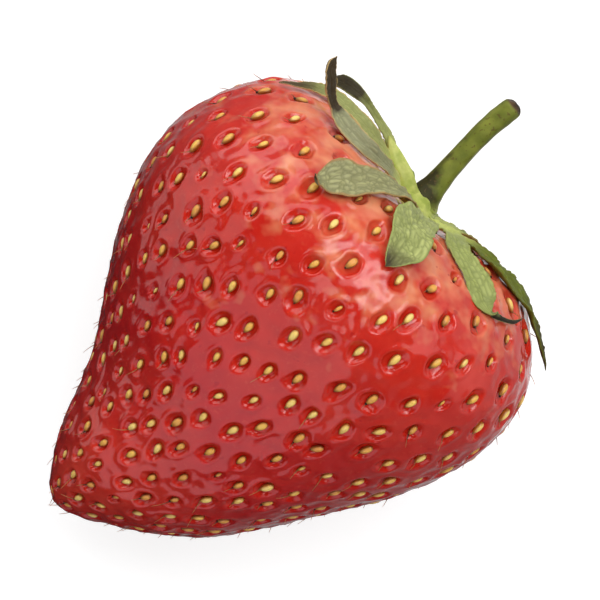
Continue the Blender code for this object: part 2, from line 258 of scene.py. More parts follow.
def smooth(rows, count):
    """Evenly spaced rows of the open Catmull-Rom curve through the given rows."""
    rows = np.array(rows, float)
    padded = np.vstack((2 * rows[0] - rows[1], rows, 2 * rows[-1] - rows[-2]))
    place = np.linspace(0, len(rows) - 1, count)
    start = np.minimum(place.astype(int), len(rows) - 2)
    f = (place - start)[:, None]
    a, b, c, d = (padded[start + k] for k in range(4))
    return b + f * (c - a) / 2 + f**2 * (a - 2.5 * b + 2 * c - d / 2) + f**3 * (d - a + 3 * (b - c)) / 2


def unit(vectors):
    return vectors / np.linalg.norm(vectors, axis=-1, keepdims=True)


def dot(a, b):
    return np.sum(a * b, axis=-1, keepdims=True)


def stacked(*parts):
    """Numbers as the last axis of one array, each of them spread over the shape that all share."""
    return np.stack(np.broadcast_arrays(*parts), axis=-1)


def noise_at(places):
    """Smooth noise about 0 at each place of an array of any shape."""
    return np.array([noise.noise(Vector(p)) for p in places.reshape(-1, 3)]).reshape(places.shape[:-1])


def full_turn(count):
    """Evenly spaced angles all the way round."""
    return np.linspace(0, 2 * np.pi, count, endpoint=False)


def circle(turn, first, second):
    """Steps out from an axis, which turn from the first direction to the second."""
    return np.cos(turn)[:, None] * first[..., None, :] + np.sin(turn)[:, None] * second[..., None, :]


PLAN = spline_controls([ring[0] for ring in RINGS] + [ring[2] for ring in RINGS[-2:0:-1]])
PROFILE = spline_controls([ring[1] for ring in RINGS] + [ring[3] for ring in RINGS[-2:0:-1]])


def skin(ring, angle):
    """Points on the skin, at any place between the rings and any angle round the berry."""
    left, right = on_spline(PLAN, ring), on_spline(PLAN, -ring)
    top, bottom = on_spline(PROFILE, ring), on_spline(PROFILE, -ring)
    x = (
        (left + right + top + bottom)[..., 0] / 4
        + (left + right - top - bottom)[..., 0] / 4 * np.cos(2 * angle)
        + (left - right)[..., 0] / 2 * np.cos(angle)
        + (top - bottom)[..., 0] / 2 * np.sin(angle)
    )
    y = (left + right)[..., 1] / 2 + (left - right)[..., 1] / 2 * np.cos(angle)
    z = (top + bottom)[..., 1] / 2 + (top - bottom)[..., 1] / 2 * np.sin(angle)
    return stacked(x, y, z)


CALYX_CENTRE = skin(np.array(float(CALYX_RING)), np.array(0.0))


def skin_directions(ring, angle, step=0.01):
    """The skin's unit normal, its direction round the berry and its direction to the calyx."""
    along = unit(skin(ring + step, angle) - skin(ring - step, angle))
    around = unit(skin(ring, angle + step) - skin(ring, angle - step))
    return unit(np.cross(around, along)), around, along


def to_row(points):
    """From the berry's frame in millimetres to the row's frame in metres."""
    turn = math.radians(HEADING)
    x, y = points[..., 0] - REST_SPOT[0], points[..., 1] - REST_SPOT[1]
    east = x * math.cos(turn) - y * math.sin(turn)
    north = x * math.sin(turn) + y * math.cos(turn)
    return stacked(east, north, points[..., 2]) * MM


def add_piece(name, points, faces, look, slot, replaced=(), **attributes):
    """A mesh object from points in the berry's frame, which rides on the row's one body.

    Each attribute stores up to three numbers at every point, for the look to read.
    """
    mesh = bpy.data.meshes.new(name)
    mesh.from_pydata(to_row(points).tolist(), [], [list(face) for face in faces])
    for key, parts in attributes.items():
        values = np.zeros((len(points), 3), np.float32)
        for column, part in enumerate(parts):
            values[:, column] = part
        mesh.attributes.new(key, "FLOAT_VECTOR", "POINT").data.foreach_set("vector", values.ravel())
    mesh.shade_smooth()
    mesh.materials.append(look)
    piece = bpy.data.objects.new(name, mesh)
    bpy.context.scene.collection.objects.link(piece)
    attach(piece, "root")
    if replaced:
        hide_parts(*replaced)


def grid_faces(rows, columns, closed=False):
    """Quads of a grid of points numbered row by row, joined round if it is closed."""
    i, j = np.meshgrid(np.arange(rows - 1), np.arange(columns - (not closed)), indexing="ij")
    a, b = i * columns + j, i * columns + (j + 1) % columns
    return np.stack((a, b, b + columns, a + columns), axis=-1).reshape(-1, 4)


def tube_faces(rows, columns, start=0):
    """The faces of a closed tube of points numbered row by row from a start, with a cap at each end."""
    last = start + (rows - 1) * columns
    caps = [list(range(start, start + columns))[::-1], list(range(last, last + columns))]
    return (grid_faces(rows, columns, closed=True) + start).tolist() + caps


# --- materials -------------------------------------------------------------------------------------


def srgb(red, green, blue):
    """A colour as a screen shows it, from 0 to 255, as linear light."""
    share = np.array((red, green, blue)) / 255
    return (*np.where(share <= 0.04045, share / 12.92, ((share + 0.055) / 1.055) ** 2.4), 1)


class Nodes:
    """A node tree whose nodes are added one call at a time. Each call gives the new node's output."""

    def __init__(self, tree):
        self.tree = tree

    def put(self, socket, value):
        """Links a socket to an output, or sets its own value."""
        if isinstance(value, bpy.types.NodeSocket):
            self.tree.links.new(value, socket)
        else:
            socket.default_value = value

    def node(self, kind, output=0, settings=(), **inputs):
        """A node of any kind. An input is given by its name, or by its number after an underscore."""
        made = self.tree.nodes.new(kind)
        for key, value in dict(settings).items():
            setattr(made, key, value)
        for key, value in inputs.items():
            self.put(made.inputs[int(key[1:]) if key[0] == "_" else key], value)
        return made.outputs[output]

    def parts(self, vector):
        return self.node("ShaderNodeSeparateXYZ", _0=vector).node.outputs

    def math(self, operation, a, b=0.0, c=0.0):
        return self.node("ShaderNodeMath", 0, {"operation": operation}, _0=a, _1=b, _2=c)

    def vector_math(self, operation, a, b=(0, 0, 0), output="Vector"):
        return self.node("ShaderNodeVectorMath", output, {"operation": operation}, _0=a, _1=b)

    def swing(self, value, amount):
        """A number from 0 to 1, moved to lie about 0 and scaled."""
        return self.math("MULTIPLY", self.math("SUBTRACT", value, 0.5), amount)

    def noise(self, vector, scale, detail=3.0, roughness=0.5):
        return self.node(
            "ShaderNodeTexNoise", "Fac", Vector=vector, Scale=scale, Detail=detail, Roughness=roughness
        )

    def ramp(self, value, *stops, smooth_steps=False):
        """A number or a colour that runs through (place, value) stops."""
        made = self.tree.nodes.new("ShaderNodeValToRGB")
        elements = made.color_ramp.elements
        made.color_ramp.interpolation = "EASE" if smooth_steps else "LINEAR"
        while len(elements) < len(stops):
            elements.new(1)
        for element, (place, colour) in zip(elements, stops):
            element.position = place
            element.color = colour if isinstance(colour, tuple) else (colour, colour, colour, 1)
        self.put(made.inputs[0], value)
        return made.outputs[0]

    def mix(self, share, a, b):
        return self.node("ShaderNodeMix", 2, {"data_type": "RGBA"}, _0=share, _6=a, _7=b)


class Look(Nodes):
    """A Principled material. scatter_mm is how far red, green and blue light wander inside it."""

    def __init__(self, name, scatter_mm=None, **plain):
        self.made = bpy.data.materials.new(name)
        self.made.use_nodes = True
        super().__init__(self.made.node_tree)
        self.shader = self.tree.nodes["Principled BSDF"]
        for key, value in plain.items():
            self.set(key.replace("_", " "), value)
        if scatter_mm:
            self.set("Subsurface Scale", 1.0)
            self.set("Subsurface Radius", [reach * MM for reach in scatter_mm])

    def set(self, name, value):
        self.put(self.shader.inputs[name], value)

    def stored(self, name):
        """The three numbers of an attribute that add_piece stored."""
        return self.parts(self.node("ShaderNodeAttribute", "Vector", {"attribute_name": name}))

    def place(self):
        return self.node("ShaderNodeTexCoord", "Object")

    def bump(self, height, distance_mm, strength=1.0, normal=None):
        inputs = {"Height": height, "Distance": distance_mm * MM, "Strength": strength}
        if normal:
            inputs["Normal"] = normal
        return self.node("ShaderNodeBump", 0, **inputs)


def skin_look():
    """Glossy red skin: light at the tip, deep red above it, orange-red higher up, pale by the calyx, with
    painted shade and highlight: darker crimson where the skin faces sideways or down, deeper red in the pits,
    and the pale by the calyx partly painted highlight.
    """
    look = Look("berry_skin", (1.6, 0.3, 0.14), Subsurface_Weight=0.3, Specular_IOR_Level=0.7)
    share, from_calyx, upward = look.stored("zone")
    from_pit = look.math("MULTIPLY", look.stored("pit")[0], 0.5)
    place = look.place()
    shift = look.swing(look.noise(place, 180.0), 0.5)
    small_shift = look.math("MULTIPLY", shift, 0.6)
    ripe = look.ramp(
        look.math("ADD", share, small_shift),
        (0.0, srgb(234, 84, 60)),
        (0.2, srgb(226, 66, 50)),
        (0.34, srgb(200, 34, 32)),
        (0.48, srgb(208, 46, 32)),
        (0.64, srgb(214, 52, 38)),
        (0.88, srgb(224, 84, 56)),
    )
    deep = look.ramp(look.noise(place, 300.0, 2.0), (0.38, 0.6), (0.62, 0.0))
    ripe = look.mix(deep, ripe, look.mix(0.6, ripe, srgb(186, 14, 16)))
    # painted shade: the skin turns a darker crimson where it faces sideways or down
    side = look.ramp(look.math("ADD", upward, shift), (0.1, 0.95), (0.45, 0.6), (0.8, 0.0))
    shaded_flank = look.ramp(share, (0.4, srgb(148, 6, 16)), (0.75, srgb(206, 42, 34)))
    ripe = look.mix(side, ripe, shaded_flank)
    # the pale skin by the calyx is partly the skin's own pale shoulder and partly painted highlight, and it
    # is weaker where the skin faces sideways
    pale_edge_noise = look.swing(look.noise(place, 420.0, 2.0), 0.7)
    ragged = look.math("ADD", from_calyx, look.math("ADD", small_shift, pale_edge_noise))
    pale = look.ramp(ragged, (0.14, 0.92), (0.36, 0.72), (0.62, 0.0))
    pale = look.math("MULTIPLY", pale, look.ramp(upward, (0.35, 0.55), (0.8, 1.0)))
    colour = look.mix(pale, ripe, srgb(244, 172, 124))
    # painted shade: the skin inside each pit is a deeper, darker red
    pit_shade = look.ramp(from_pit, (0.0, 0.7), (0.4, 0.6), (0.55, 0.0), smooth_steps=True)
    colour = look.mix(pit_shade, colour, srgb(210, 36, 18))
    specks = look.ramp(look.noise(place, 1500.0, 3.0, 0.7), (0.56, 0.0), (0.76, 0.14))
    colour = look.mix(specks, colour, srgb(240, 110, 80))
    spots = look.ramp(look.noise(place, 900.0, 2.0), (0.68, 0.0), (0.74, 0.5))
    colour = look.mix(spots, colour, srgb(172, 12, 22))
    look.set("Base Color", colour)
    look.set("Roughness", look.ramp(look.noise(place, 700.0, 4.0), (0.3, 0.09), (0.7, 0.18)))
    grain = look.bump(look.noise(place, 2600.0), 0.01, 0.5)
    grain = look.bump(look.noise(place, 420.0, 2.0), 0.04, 0.5, grain)
    brink = look.ramp(from_pit, (0.34, 0.0), (0.52, 1.0), smooth_steps=True)
    look.set("Normal", look.bump(brink, 0.07, 1.0, grain))
    return look.made


def achene_look():
    """Golden achenes, lighter on top and brown lower down and at the pointed end, no two quite the same
    colour; the lighter top and brown lower sides are partly their own rim colour and partly painted highlight
    and shade.
    """
    look = Look("achene", (0.4, 0.2, 0.1), Roughness=0.3, Subsurface_Weight=0.1)
    length, height, tint = look.stored("seed")
    top = look.ramp(tint, (0.0, srgb(230, 156, 74)), (0.5, srgb(244, 192, 88)), (1.0, srgb(252, 220, 128)))
    rim = look.ramp(tint, (0.0, srgb(128, 58, 18)), (1.0, srgb(168, 98, 28)))
    # painted highlight and shade, partly the achene's own brown rim: lighter gold over the top, brown over
    # the lower sides
    colour = look.mix(look.ramp(height, (0.6, 0.0), (0.95, 1.0), smooth_steps=True), rim, top)
    streaks = look.noise(look.place(), 2200.0)
    end = look.math("ADD", length, look.swing(streaks, 0.5))
    end = look.math("ADD", end, look.math("MULTIPLY", tint, 0.18))
    colour = look.mix(look.ramp(end, (0.12, 0.75), (0.45, 0.0)), colour, srgb(148, 104, 36))
    colour = look.mix(look.ramp(end, (0.03, 0.7), (0.12, 0.0)), colour, srgb(96, 54, 20))
    colour = look.mix(look.ramp(streaks, (0.52, 0.0), (0.8, 0.4)), colour, srgb(176, 112, 40))
    look.set("Base Color", colour)
    look.set("Normal", look.bump(streaks, 0.03, 0.5))
    return look.made


def style_look():
    """Dried styles: light brown at the end, and brown or nearly black at the achene."""
    look = Look("dried_style", Roughness=0.6)
    share, tint, _ = look.stored("strand")
    dark = look.ramp(tint, (0.3, srgb(30, 16, 10)), (0.45, srgb(140, 88, 34)))
    look.set("Base Color", look.mix(look.ramp(share, (0.1, 0.0), (0.8, 1.0)), dark, srgb(180, 110, 60)))
    return look.made


FRESH_BASE = srgb(212, 220, 122)


def lobe_look(name, fresh, vein, rim, dry, dry_from, dry_to):
    """A calyx lobe: pale at its base, netted with darker veins that are partly painted shade in the creases,
    rimmed and dried towards its tip.
    """
    look = Look(name, (0.5, 0.5, 0.15), Subsurface_Weight=0.12, Specular_IOR_Level=0.35)
    share, across, net = look.stored("leaf")
    from_base = look.stored("from_base")[0]
    place = look.place()
    mottle = look.noise(place, 700.0, 4.0, 0.6)
    green = look.mix(look.ramp(mottle, (0.3, 0.0), (0.75, 0.5)), fresh, look.mix(0.5, fresh, vein))
    # the darker net along the veins is partly the veins' own colour and partly painted shade in the creases
    colour = look.mix(look.ramp(net, (0.05, 0.1), (1.0, 0.72)), green, vein)
    base = look.ramp(from_base, (0.0, 1.0), (0.25, 0.85), (0.6, 0.0), smooth_steps=True)
    colour = look.mix(base, colour, look.mix(look.math("MULTIPLY", net, 0.35), FRESH_BASE, vein))
    wander = look.swing(look.noise(place, 500.0), 0.3)
    dried = look.ramp(look.math("ADD", share, wander), (dry_from, 0.0), (dry_to, 1.0))
    colour = look.mix(dried, colour, look.mix(look.math("MULTIPLY", mottle, 0.6), dry, srgb(30, 24, 10)))
    edge = look.math("ADD", look.math("ABSOLUTE", across), look.math("MULTIPLY", wander, 0.4))
    colour = look.mix(look.ramp(edge, (0.84, 0.0), (0.95, 0.8)), colour, rim)
    look.set("Base Color", colour)
    look.set("Roughness", look.ramp(mottle, (0.3, 0.42), (0.7, 0.62)))
    fine = look.bump(look.noise(place, 3000.0, 2.0), 0.02, 0.5)
    look.set("Normal", look.bump(look.math("SUBTRACT", 1.0, net), 0.06, 0.6, fine))
    return look.made


def hub_look():
    """The calyx's pale middle, streaked with green, and its darker small tooth."""
    look = Look("calyx_middle", (0.5, 0.6, 0.15), Roughness=0.5, Subsurface_Weight=0.15)
    streaks = look.noise(look.place(), 900.0, 4.0)
    green = look.ramp(streaks, (0.3, srgb(150, 164, 66)), (0.7, srgb(206, 210, 116)))
    look.set("Base Color", look.mix(look.stored("tooth")[0], green, srgb(128, 144, 66)))
    look.set("Normal", look.bump(streaks, 0.08, 0.5))
    return look.made


def stem_look():
    """Green stem with dark bruises near its foot and a dried cut end."""
    look = Look("green_stem", (0.5, 0.6, 0.15), Roughness=0.5, Subsurface_Weight=0.1, Specular_IOR_Level=0.25)
    share, bruise, _ = look.stored("stalk")
    place = look.place()
    mottle = look.noise(place, 600.0, 4.0)
    green = look.ramp(mottle, (0.3, srgb(92, 102, 30)), (0.7, srgb(134, 140, 54)))
    foot = look.ramp(share, (0.0, 0.75), (0.14, 0.0))
    colour = look.mix(foot, green, srgb(164, 176, 84))
    ragged = look.swing(look.noise(place, 900.0, 4.0), 0.9)
    dark = look.ramp(look.math("ADD", bruise, ragged), (0.3, 0.0), (0.75, 0.92))
    colour = look.mix(dark, colour, srgb(42, 34, 6))
    specks = look.ramp(look.noise(place, 2600.0, 1.0), (0.64, 0.0), (0.7, 0.7))
    colour = look.mix(specks, colour, srgb(92, 72, 34))
    cut = look.ramp(look.math("ADD", share, look.math("MULTIPLY", ragged, 0.04)), (0.92, 0.0), (0.95, 1.0))
    dried = look.mix(look.ramp(mottle, (0.4, 0.0), (0.7, 0.7)), srgb(44, 36, 26), srgb(130, 96, 60))
    look.set("Base Color", look.mix(cut, colour, dried))
    look.set("Normal", look.bump(mottle, 0.08, 0.5))
    return look.made


LOBE_LOOKS = {  # colours: fresh, veins (partly painted shade in the creases), rim and dried tip; then where drying starts and where it ends
    "sepal_1": (srgb(188, 194, 120), srgb(108, 114, 52), srgb(128, 132, 66), srgb(64, 56, 30), 0.56, 0.68),
    "bractlet_1": (srgb(174, 178, 112), srgb(122, 126, 66), srgb(206, 172, 112), srgb(96, 82, 52), 0.6, 0.8),
    "sepal_2": (srgb(174, 174, 134), srgb(116, 116, 80), srgb(190, 160, 104), srgb(78, 64, 42), 0.58, 0.64),
    "bractlet_2": (srgb(190, 188, 136), srgb(82, 82, 44), srgb(168, 126, 74), srgb(52, 38, 18), 0.84, 0.93),
    "sepal_3": (srgb(200, 206, 130), srgb(84, 96, 38), srgb(158, 168, 96), srgb(80, 70, 42), 0.72, 0.95),
    "bractlet_3": (srgb(176, 184, 108), srgb(112, 122, 62), srgb(150, 156, 84), srgb(40, 34, 16), 0.72, 0.8),
    "sepal_4": (srgb(122, 132, 36), srgb(66, 74, 14), srgb(92, 96, 26), srgb(66, 56, 20), 0.62, 0.9),
    "bractlet_4": (srgb(146, 156, 84), srgb(94, 104, 48), srgb(150, 146, 84), srgb(74, 62, 36), 0.8, 0.95),
    "sepal_5": (srgb(136, 150, 76), srgb(86, 98, 42), srgb(140, 142, 78), srgb(68, 60, 36), 0.75, 0.95),
    "bractlet_5": (srgb(150, 160, 88), srgb(98, 110, 52), srgb(152, 148, 86), srgb(70, 60, 36), 0.82, 0.95),
}


# --- the skin and its achenes ----------------------------------------------------------------------


def cube_sphere(cells):
    """Unit vectors and quads of a cube's six grids, swollen to a ball."""
    steps = np.tan(np.linspace(-np.pi / 4, np.pi / 4, cells + 1))
    a, b = np.meshgrid(steps, steps, indexing="ij")
    one = np.ones_like(a)
    sides = []
    for axis in range(3):
        for sign in (1, -1):
            parts = [a, b]
            parts.insert(axis, one * sign)
            sides.append(np.stack(parts, axis=-1).reshape(-1, 3))
    points = unit(np.vstack(sides))
    quads = np.vstack([grid_faces(cells + 1, cells + 1) + k * (cells + 1) ** 2 for k in range(6)])
    _, first, index = np.unique(np.round(points, 6), axis=0, return_index=True, return_inverse=True)
    points, quads = points[first], index.reshape(-1)[quads]
    corner = points[quads]
    outward = np.cross(corner[:, 1] - corner[:, 0], corner[:, 3] - corner[:, 0])
    turned = dot(outward, corner[:, 0])[:, 0] < 0
    quads[turned] = quads[turned][:, ::-1]
    return points, quads


def vertex_normals(points, quads):
    corner = points[quads]
    faces = np.cross(corner[:, 2] - corner[:, 0], corner[:, 3] - corner[:, 1])
    total = np.zeros_like(points)
    for k in range(4):
        np.add.at(total, quads[:, k], faces)
    return unit(total)


def spacing_at(ring, angle):
    """The distance between achenes: least at the tip and on the berry's left side."""
    rings, distances = zip(*ACHENE_SPACING)
    return np.interp(ring, rings, distances) * (1 - 0.1 * np.cos(angle))


def scatter_achenes():
    """Rings and angles of the achenes: a golden-angle spiral, evened out and then disturbed."""
    ring = np.linspace(0, ACHENE_LAST, 400)
    surface = skin(ring[:, None], np.linspace(0, 2 * np.pi, 60))
    girth = np.linalg.norm(np.diff(surface, axis=1), axis=-1).sum(axis=1)
    slant = np.linalg.norm(np.diff(surface, axis=0), axis=-1).mean(axis=1)
    area = slant * (girth[1:] + girth[:-1]) / 2
    room = ACHENE_ROOM * spacing_at(ring[1:], np.pi / 2) ** 2
    count = np.concatenate(([0], np.cumsum(area / room)))
    number = np.arange(int(count[-1]))
    ring = np.interp(number + 0.5, count, ring)
    angle = number * GOLDEN_ANGLE
    for _ in range(EVENING_ROUNDS):
        points = skin(ring, angle)
        gap = points[:, None] - points
        distance = np.linalg.norm(gap, axis=-1) + np.eye(len(points)) * 99
        wanted = spacing_at(ring, angle)[:, None]
        push = gap / distance[..., None] * np.maximum(1 - distance / wanted, 0)[..., None]
        push = 0.25 * wanted * push.sum(axis=1)
        by_ring = (skin(ring + 0.01, angle) - skin(ring - 0.01, angle)) / 0.02
        by_angle = (skin(ring, angle + 0.01) - skin(ring, angle - 0.01)) / 0.02
        ring = ring + (dot(push, by_ring) / dot(by_ring, by_ring))[:, 0]
        angle = angle + (dot(push, by_angle) / dot(by_angle, by_angle))[:, 0]
        ring = np.clip(ring, ACHENE_FIRST, ACHENE_LAST)
    widest = girth.max() / 6.3
    ring = ring + random.normal(0, ACHENE_JITTER[0], len(ring))
    angle = angle + random.normal(0, ACHENE_JITTER[1], len(ring)) / widest
    return np.clip(ring, ACHENE_FIRST, ACHENE_LAST), angle


class Achenes:
    """Where each achene is, which way it points and how large it is: larger where they stand apart."""

    def __init__(self):
        ring, angle = scatter_achenes()
        spacing = spacing_at(ring, angle)
        self.count = len(ring)
        self.at = skin(ring, angle)
        self.normal, around, along = skin_directions(ring, angle)
        twist = random.normal(0, 0.16, (self.count, 1))
        self.along = unit(along * np.cos(twist) + around * np.sin(twist))
        self.across = np.cross(self.normal, self.along)
        stunted = random.random(self.count) < STUNTED_SHARE
        self.slim = np.where(stunted, STUNTED_SLIMNESS, 1)
        spread = random.normal(1, 0.08, self.count).clip(0.8, 1.18) * np.where(stunted, STUNTED_SIZE, 1)
        self.size = spread * (0.62 + 0.1 * spacing)
        self.pit = self.size * (0.5 + 0.07 * spacing)
        self.tint = random.random(self.count)


def pit_fields(points, achenes):
    """For each point: how far it is from the nearest pit's middle, its depth in any pit and its rise.

    The distance counts in the pit's own size, and the rise is that of the lips round the pits.
    """
    tree = kdtree.KDTree(achenes.count)
    for number, at in enumerate(achenes.at):
        tree.insert(at, number)
    tree.balance()
    near = np.array([[found[1] for found in tree.find_n(point, 3)] for point in points])
    uneven = noise_at(points * 0.8 + (0, 5, 9))
    depth, lip, distance = np.zeros(len(points)), np.zeros(len(points)), []
    for one in near.T:
        offset = points - achenes.at[one]
        along = dot(offset, achenes.along[one])[:, 0] / (PIT_SIZE[0] * achenes.pit[one])
        across = dot(offset, achenes.across[one])[:, 0] / (PIT_SIZE[1] * achenes.pit[one])
        radius = np.hypot(along + 0.12, across) * (1 + 0.3 * uneven)
        depth = np.maximum(depth, np.maximum(1 - radius**2, 0))
        lip = lip + np.exp(-(((radius - PIT_LIP_AT) / PIT_LIP_BREADTH) ** 2))
        distance.append(radius)
    return distance[0], depth, lip


def add_skin(achenes):
    """The flesh's surface with its swellings, dents and pits, pressed flat where it rests."""
    directions, quads = cube_sphere(SKIN_GRID)
    ring = np.arccos(np.clip(-directions[:, 0], -1, 1)) / np.pi * CALYX_RING
    angle = np.arctan2(directions[:, 2], directions[:, 1])
    angle = angle + SKIN_CROWDING * np.cos(angle)
    points = skin(ring, angle)
    normals = vertex_normals(points, quads)
    from_pit, depth, lip = pit_fields(points, achenes)
    height = SWELL_HEIGHT * noise_at(points * 0.16)
    height += RIPPLE_HEIGHT * noise_at(points * (0.22, 0.5, 0.5) + (7, 3, 1))
    height += DENT_HEIGHT * noise_at(points * 0.9 + (2, 8, 4))
    height += PIT_LIP * lip - PIT_DEPTH * depth
    points = points + normals * height[:, None]
    points[:, 2] = (points[:, 2] + np.sqrt(points[:, 2] ** 2 + REST_SOFTNESS)) / 2
    from_calyx = np.linalg.norm(points - (CALYX_CENTRE + PALE_OFFSET), axis=1) / PALE_REACH
    zone = (ring / CALYX_RING, from_calyx, normals[:, 2])
    add_piece("berry_skin", points, quads, skin_look(), "skin", ["fruit"], zone=zone, pit=[from_pit])


def add_achenes(achenes):
    """Teardrops that lie in their pits with the pointed end towards the berry's tip."""
    sides = 16
    place = -np.cos(np.linspace(0.18, np.pi - 0.12, 13))
    radius = (np.sqrt(1 - place**2) * (1 + ACHENE_TAPER * place))[:, None]
    turn = full_turn(sides)
    drop = stacked(place[:, None], radius * np.cos(turn), radius * np.sin(turn)).reshape(-1, 3)
    points, faces, seed = [], [], []
    for k in range(achenes.count):
        length, width, thickness = np.array(ACHENE_SIZE) * achenes.size[k] * (1, achenes.slim[k], 1)
        middle = achenes.at[k] + achenes.normal[k] * (ACHENE_LIFT * thickness - PIT_DEPTH)
        middle[2] = max(middle[2], 0.9 * thickness)
        made = middle + (
            drop[:, :1] * length * achenes.along[k]
            + drop[:, 1:2] * width * achenes.across[k]
            + drop[:, 2:] * thickness * achenes.normal[k]
        )
        made[:, 2] = np.maximum(made[:, 2], 0.03)
        points.append(made)
        faces += tube_faces(len(place), sides, start=k * len(drop))
        seed.append(stacked((drop[:, 0] + 1) / 2, (drop[:, 2] + 1) / 2, achenes.tint[k]))
    add_piece("achenes", np.vstack(points), faces, achene_look(), "achene", seed=np.vstack(seed).T)


def add_styles(achenes):
    """A dark remnant at the pointed end of each achene, and on most of them a dried hair."""
    dot_rings, sides, steps = 5, 7, 7
    polar = np.linspace(0.25, np.pi - 0.25, dot_rings)[:, None]
    turn = full_turn(sides)
    ball = stacked(np.sin(polar) * np.cos(turn), np.sin(polar) * np.sin(turn), np.cos(polar)).reshape(-1, 3)
    points, faces, strand, total = [], [], [], 0
    for k in range(achenes.count):
        length, _, thickness = np.array(ACHENE_SIZE) * achenes.size[k]
        start = achenes.at[k] + achenes.normal[k] * (STYLE_LIFT * thickness - PIT_DEPTH)
        start = start - achenes.along[k] * length * 0.98
        if start[2] < STYLE_CLEARANCE:
            continue
        size = random.uniform(0.06, 0.15)
        new = [(start + ball * size, dot_rings, np.zeros(len(ball)))]
        if random.random() < 1.0 - 0.75 * max(achenes.normal[k, 2], 0):
            reach = random.uniform(0.5, 1.4)
            out = unit(
                achenes.normal[k] * random.uniform(0.35, 1.0)
                - achenes.along[k] * random.uniform(0.4, 1.0)
                + achenes.across[k] * random.normal(0, 0.35)
            )
            bend = achenes.across[k] * random.normal(0, 0.3) - achenes.along[k] * random.uniform(0, 0.4)
            t = np.linspace(0, 1, steps)[:, None]
            path = start + reach * (out * t + bend * t**2)
            across = unit(np.cross(out, achenes.along[k]))
            radius = (0.05 - 0.03 * t)[..., None]
            hair = path[:, None] + radius * circle(turn, across, np.cross(out, across))
            new.append((hair.reshape(-1, 3), steps, np.repeat(t[:, 0], sides)))
        for made, rings, share in new:
            made[:, 2] = np.maximum(made[:, 2], 0.05)
            points.append(made)
            faces += tube_faces(rings, sides, start=total)
            total += len(made)
            strand.append(stacked(share, achenes.tint[k]))
    add_piece("dried_styles", np.vstack(points), faces, style_look(), "style", strand=np.vstack(strand).T)


# --- calyx and stem --------------------------------------------------------------------------------


def soften(rows, reach):
    """Rows along a line, each averaged with its neighbours."""
    weight = np.hanning(2 * reach + 3)[1:-1]
    padded = np.pad(rows, ((reach, reach), (0, 0)), mode="reflect", reflect_type="odd")
    weight /= weight.sum()
    return np.stack([np.convolve(column, weight, mode="valid") for column in padded.T], axis=-1)


def vein_net(along, across, half_width, phase):
    """How near each place on a lobe is to a vein, from 0 to 1: long veins and a net between them."""
    w = across / np.maximum(half_width, 0.2)
    wander = noise_at(stacked(along * 0.9 + phase, across * 0.9, phase))
    long_veins = np.zeros(across.shape)
    for place in LONG_VEINS:
        gap = (w - place * (1 - 0.25 * wander) - 0.12 * wander) * half_width
        long_veins = np.maximum(long_veins, np.exp(-((gap / VEIN_WIDTH) ** 2)) * (1 - 0.3 * abs(place)))
    cells = stacked(along * 1.3 + wander, across * 1.9, phase * 3.7)
    net = np.zeros(across.shape)
    for index in np.ndindex(net.shape):
        near, far = noise.voronoi(Vector(cells[index]), distance_metric="DISTANCE", exponent=2.5)[0][:2]
        net[index] = max(1 - (far - near) / 0.5, 0) ** 1.4
    return np.clip(np.maximum(0.8 * long_veins, 0.9 * net), 0, 1)


def lobe_frame(name, rows):
    """Points of a lobe's midrib, and there the directions to the lobe's side and out of its face."""
    ring, angle = CALYX_RING - rows[:, 0], np.radians(rows[:, 1])
    normal, around, _ = skin_directions(ring, angle)
    midrib = soften(skin(ring, angle) + normal * rows[:, 2:3], LOBE_STEPS // 20)
    along = unit(soften(np.gradient(midrib, axis=0), LOBE_STEPS // 12))
    side = unit(soften(unit(around - along * dot(around, along)), LOBE_STEPS // 8))
    side = unit(side - along * dot(side, along))
    face = np.cross(side, along)
    face *= np.sign(np.sum(face[0] * normal[0]))
    twist = TWIST.get(name, (0, 0))
    place = np.linspace(0, len(twist) - 1, len(rows))[:, None]
    turn = np.radians(np.interp(place, np.arange(len(twist)), twist))
    return midrib, side * np.cos(turn) + face * np.sin(turn), face * np.cos(turn) - side * np.sin(turn)


def both_faces(*parts):
    """Numbers on a lobe's upper face and back again on its lower one, as one list for each part."""
    shared = np.broadcast_arrays(*parts)
    return [np.concatenate((part, part[:, ::-1]), axis=1).ravel() for part in shared]


